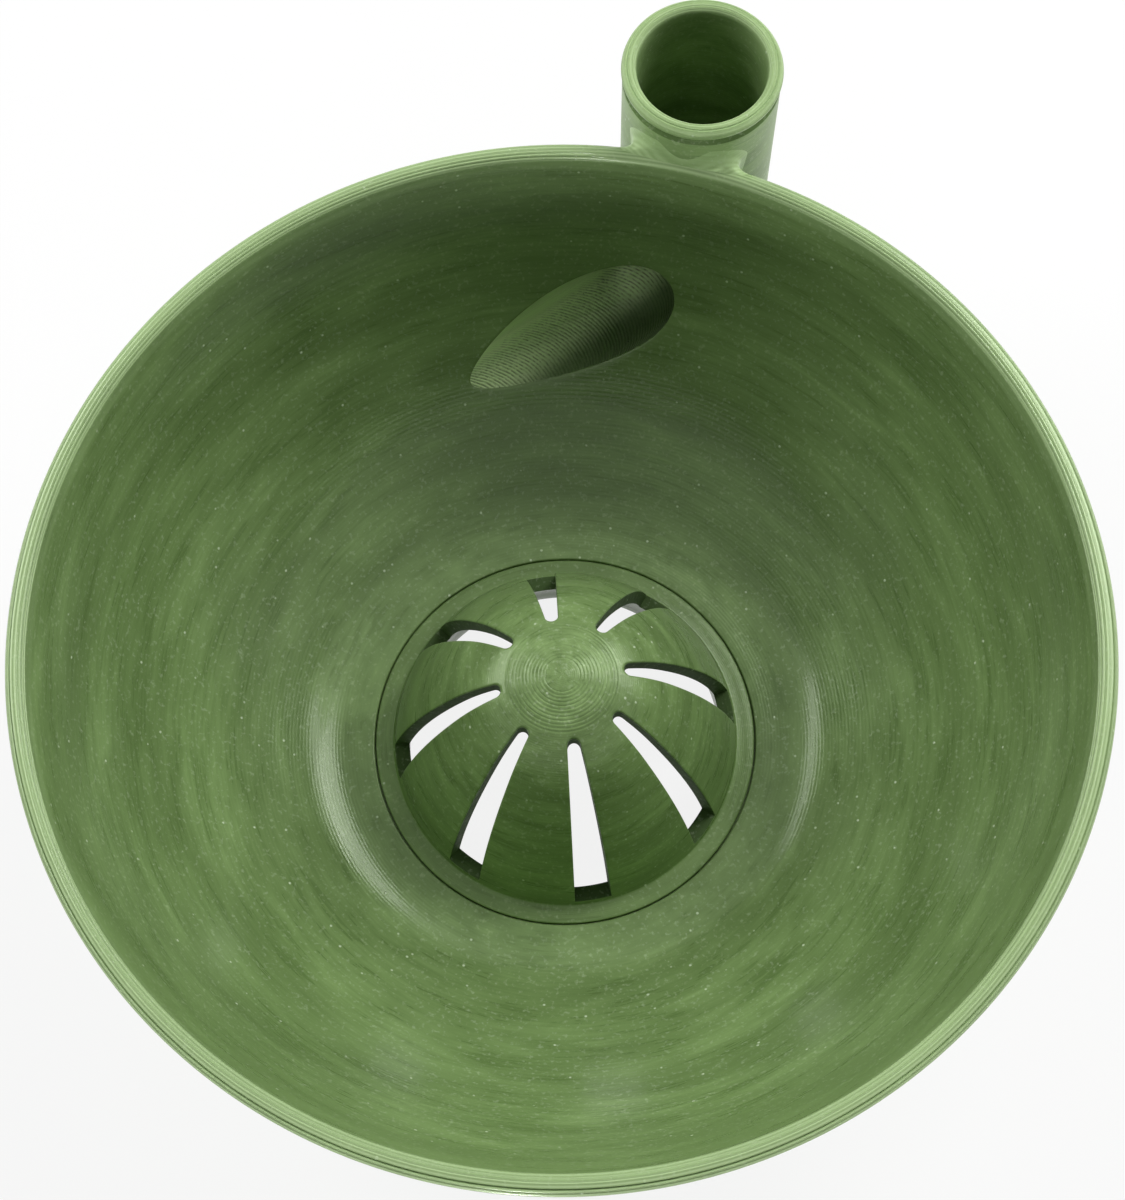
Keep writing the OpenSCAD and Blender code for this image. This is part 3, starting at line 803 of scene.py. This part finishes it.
# two arcs make the section, one over the crown and one down the side, and they meet smoothly
crownMid = np.array((0.0, dome["crown"] - dome["crownCurve"]))
toFoot = np.array((dome["outside"], dome["floor"])) - crownMid
midRun, footFar = dome["sideCurve"] - dome["crownCurve"], np.linalg.norm(toFoot)
midAlong = (midRun ** 2 - dome["sideCurve"] ** 2 + toFoot @ toFoot) / (2 * footFar)
midAcross = math.sqrt(midRun ** 2 - midAlong ** 2)
sideMid = crownMid + (midAlong * toFoot + midAcross * np.array((toFoot[1], -toFoot[0]))) / footFar
jointWay = (crownMid - sideMid) / midRun


def domeHeight(reach, inset):
    crownR, sideR = dome["crownCurve"] - inset, dome["sideCurve"] - inset
    onCrown = crownMid[1] + np.sqrt(np.maximum(crownR ** 2 - reach ** 2, 0))
    onSide = sideMid[1] + np.sqrt(np.maximum(sideR ** 2 - (reach - sideMid[0]) ** 2, 0))
    return np.where(reach < (crownMid + jointWay * crownR)[0], onCrown, onSide)


def domeReach(height, inset):
    return sideMid[0] + math.sqrt((dome["sideCurve"] - inset) ** 2 - (height - sideMid[1]) ** 2)


# one side of a slot seen from above, from its round end to where the dome's face meets the sill
def slotSide(endReach, widen):
    turns, steps = dome["turns"], dome["steps"]
    startX, halfTop = dome["slotStart"] + dome["slotTop"] / 2, dome["slotTop"] / 2
    slope = (dome["slotFoot"] - dome["slotTop"]) / 2 / (dome["outside"] + dome["slotPast"] - startX)
    turn = np.radians(np.linspace(0, 90, turns))
    endX = endReach
    for settle in range(dome["settle"]):
        endX = math.sqrt(endReach ** 2 - (halfTop + slope * (endX - startX)) ** 2)
    x = np.concatenate((startX - halfTop * np.cos(turn), np.linspace(startX, endX, steps + 1)[1:]))
    y = np.concatenate((halfTop * np.sin(turn), halfTop + slope * (x[turns:] - startX)))
    off = widen * np.sqrt(np.clip((x[-1] - x) / dome["edgeFade"], 0, 1))
    offX = np.concatenate((-np.cos(turn), np.zeros(steps))) * off
    offY = np.concatenate((np.sin(turn), np.ones(steps))) * off
    return np.column_stack((x + offX, y + offY)), off


# half of one slot and half of the rib beside it, their mirror, and copies round the axis
def buildStrainer():
    halfTurn = math.pi / dome["slots"]
    thick, sill, floor = dome["thick"], dome["sill"], dome["floor"]
    rows, sillColumns = dome["rows"], dome["sillColumns"]
    outerEnd, innerEnd = domeReach(sill, 0), domeReach(sill, thick)
    bunched = np.linspace(0, 1, dome["columns"] + 1) ** dome["bunch"]  # columns stand closer beside the slot

    def lift(reach, angle, height):
        return np.stack((reach * np.cos(angle), reach * np.sin(angle), height), -1)

    def fanNet(side, inset):
        angle = np.arctan2(side[:, 1], side[:, 0])[:, None]
        spread = angle + (halfTurn - angle) * bunched
        reach = np.repeat(np.hypot(*side.T)[:, None], len(bunched), axis=1)
        return lift(reach, spread, domeHeight(reach, inset)), spread[-1]

    def crownNet(endReach, inset, ringDepth):
        count = int(endReach / dome["ringPitch"] * dome["ringRows"]) if ringDepth else dome["crownRows"]
        reach = np.repeat(np.linspace(0, endReach, count)[:, None], len(bunched), axis=1)
        wave = np.abs(np.sin(math.pi * reach / dome["ringPitch"]))
        fade = np.clip((reach - dome["ringFrom"]) / dome["ringFade"][0], 0, 1)
        fade *= np.clip((dome["ringReach"] - reach) / dome["ringFade"][1], 0, 1)
        height = domeHeight(reach, inset) - ringDepth * (1 - wave) * fade
        return lift(reach, halfTurn * bunched, height)

    def edgeLine(side, inset):
        return np.column_stack((side, domeHeight(np.hypot(*side.T), inset)))

    topSide, off = slotSide(outerEnd, dome["edge"])
    cutSide, lowSide = slotSide(outerEnd, 0.0)[0], slotSide(innerEnd, 0.0)[0]
    top, cut, low = edgeLine(topSide, 0), edgeLine(cutSide, 0), edgeLine(lowSide, thick)
    drop = cut - np.column_stack((np.zeros((len(off), 2)), off))
    ribs, ribAngles = fanNet(topSide, 0)
    inside, insideAngles = fanNet(lowSide, thick)

    # foot of the dome: skirt, flange and spigot, all the way round below the slots
    flange, flangeLow = dome["flange"], dome["flangeLow"]
    spigot, spigotLow = dome["spigot"], dome["spigotLow"]
    skirt, fillet, edge = dome["skirt"], dome["fillet"], dome["round"]
    inFoot = domeReach(floor, thick)
    profile = np.vstack((
        [(outerEnd, sill), (domeReach(skirt, 0), skirt)],
        arcPoints((domeReach(floor + fillet, 0) + fillet, floor + fillet), fillet, 180, 270, rows),
        [(dome["flangeMid"], floor)],
        arcPoints((flange - edge, floor - edge), edge, 90, 0, rows),
        arcPoints((flange - edge, flangeLow + edge), edge, 0, -90, rows),
        [(spigot, flangeLow)],
        arcPoints((spigot - edge, spigotLow + edge), edge, 0, -90, rows),
        arcPoints((inFoot + edge, spigotLow + edge), edge, 270, 180, rows),
        [(inFoot, dome["spigotMid"]), (inFoot, floor), (innerEnd, sill)],
    ))
    sillOut, sillIn = (
        np.concatenate((np.linspace(0, angles[0], sillColumns + 1)[:-1], angles))
        for angles in (ribAngles, insideAngles))
    share = np.linspace(0, 1, len(profile))[:, None]
    turned = sillOut + (sillIn - sillOut) * share
    footNet = lift(profile[:, :1] + 0 * turned, turned, profile[:, 1:] + 0 * turned)
    sillTop, sillFoot = footNet[0, :sillColumns + 1], footNet[-1, :sillColumns + 1]
    t = np.linspace(0, 1, rows)[:, None, None]

    patches = [
        netPatch(crownNet(np.hypot(*topSide[0]), 0, dome["ringDepth"])),
        netPatch(ribs),
        netPatch(roundedRows(top, cut, drop, rows)),
        # painted shade: the slot walls take the dark slot material
        netPatch(drop + (low - drop) * t, finish="cut"),
        netPatch(inside),
        netPatch(crownNet(np.hypot(*lowSide[0]), thick, 0.0)),
        netPatch(footNet),
        # painted shade, as on the slot walls
        netPatch(sillTop + (sillFoot - sillTop) * t, finish="cut"),
    ]
    patches += [(points * np.array((1, -1, 1)), faces, finish) for points, faces, finish in patches]
    sector = patchMesh("strainerSector", patches)
    mesh = repeatRound("strainerDome", sector, dome["slots"], dome["slotTurn"], strainerPla, slotPla)
    addPiece("strainerDome", mesh, "strainer", "strainer_dome")


buildBowl()
buildTube()
buildElbow()
buildSaddle()
buildFoot()
buildStrainer()

studio = dict(
    floorWide=4000, floorGlow=(0.86, 1.0), floorFade=(120, 700), floorPaint="#F2F2F2", world=0.11,
    lampFar=0.9, aimHigh=40,
    # each lamp: way to it with x right, y away from the camera and z up, watts, size in metres
    lamps=dict(keyLamp=((0.70, 0.45, 0.55), 4.4, 0.6), fillLamp=((-0.70, 0.45, 0.55), 5.0, 0.6),
               topLamp=((0.5, 0.55, 1.0), 3.0, 0.4), lowLamp=((-0.15, -1.0, 0.04), 4.4, 0.12)),
)


# 1 where it is seen, also in a reflection or through something clear, 0 where it only gives light
def whiteSeen(tree):
    path = addNode(tree, "LightPath")
    seen = path.outputs["Is Camera Ray"]
    for ray in ("Is Glossy Ray", "Is Transmission Ray"):
        seen = addNode(tree, "Math", {0: seen, 1: path.outputs[ray]}, operation="MAXIMUM")
    return seen


# plain white floor, a little darker where the bowl keeps the light off it, under a white world
def buildStudio():
    half = studio["floorWide"] / 2 * mm
    mesh = bpy.data.meshes.new("floor")
    corners = (-half, -half, 0), (half, -half, 0), (half, half, 0), (-half, half, 0)
    mesh.from_pydata(corners, [], [(0, 1, 2, 3)])
    paint = bpy.data.materials.new("matt_white_board")
    paint.use_nodes = True
    tree = paint.node_tree
    tree.nodes.remove(tree.nodes["Principled BSDF"])
    matt = addNode(tree, "BsdfDiffuse", {"Color": toLinear(studio["floorPaint"])})
    glow = addNode(tree, "Emission", {"Color": toLinear("#FFFFFF"), "Strength": 1.0})
    place = addNode(tree, "TexCoord")
    far = addNode(tree, "VectorMath", {0: place.outputs["Object"]}, operation="LENGTH")
    (near, out), (least, most) = studio["floorFade"], studio["floorGlow"]
    fade = addNode(tree, "MapRange", {
        "Value": far.outputs["Value"], "From Min": near * mm, "From Max": out * mm,
        "To Min": least, "To Max": most})
    share = addNode(tree, "Math", {0: whiteSeen(tree), 1: fade}, operation="MULTIPLY")
    mixed = addNode(tree, "MixShader", {0: share, 1: matt, 2: glow})
    tree.links.new(mixed.outputs[0], tree.nodes["Material Output"].inputs["Surface"])
    mesh.materials.append(paint)
    floor = bpy.data.objects.new("floor", mesh)
    scene.collection.objects.link(floor)

    world = bpy.data.worlds.new("studio")
    scene.world = world
    world.use_nodes = True
    tree = world.node_tree
    dim = tree.nodes["Background"]
    dim.inputs["Color"].default_value = (1, 1, 1, 1)
    dim.inputs["Strength"].default_value = studio["world"]
    bright = addNode(tree, "Background", {"Color": (1, 1, 1, 1), "Strength": 1.0})
    mixed = addNode(tree, "MixShader", {0: whiteSeen(tree), 1: dim, 2: bright})
    tree.links.new(mixed.outputs[0], tree.nodes["World Output"].inputs["Surface"])


def addLamp(name, way, watts, size):
    lamp = bpy.data.objects.new(name, bpy.data.lights.new(name, "AREA"))
    scene.collection.objects.link(lamp)
    lamp.data.shape, lamp.data.energy, lamp.data.size = "DISK", watts, size
    aim = Vector((0, 0, studio["aimHigh"] * mm))
    lamp.location = aim + way.normalized() * studio["lampFar"]
    lamp.rotation_euler = (aim - lamp.location).to_track_quat("-Z", "Y").to_euler()


# camera of the photograph, fitted to the rim and the mouth of the tube; focal and high are in its pixels
view = dict(
    focal=2081.0, high=1200.0, sensor=36, distance=300.0, elevation=69.44, roll=-2.26, turn=16.3,
    aim=(0.5, 2.9, 68.0), clipStart=10,
)


def buildCamera():
    rise, roll = math.radians(view["elevation"]), math.radians(view["roll"])
    back = Vector((0, -math.cos(rise), math.sin(rise)))
    right, up = Vector((1, 0, 0)), Vector((0, math.sin(rise), math.cos(rise)))
    side = math.cos(roll) * right + math.sin(roll) * up
    top = math.cos(roll) * up - math.sin(roll) * right
    spin = Matrix.Rotation(math.radians(view["turn"]), 3, "Z")
    spot = Vector(view["aim"]) + view["distance"] * back
    camera = bpy.data.objects.new("camera", bpy.data.cameras.new("camera"))
    scene.collection.objects.link(camera)
    basis = spin @ Matrix((side, top, back)).transposed()
    camera.matrix_world = Matrix.Translation(spin @ spot * mm) @ basis.to_4x4()
    camera.data.sensor_width = view["sensor"]
    camera.data.lens = view["focal"] / view["high"] * view["sensor"]
    camera.data.clip_start = view["clipStart"] * mm
    scene.camera = camera
    return spin


buildStudio()
spin = buildCamera()
for lampName, (way, watts, size) in studio["lamps"].items():
    addLamp(lampName, spin @ Vector(way), watts, size)
scene.view_settings.view_transform = "Standard"
print("floor, lamps and camera set")
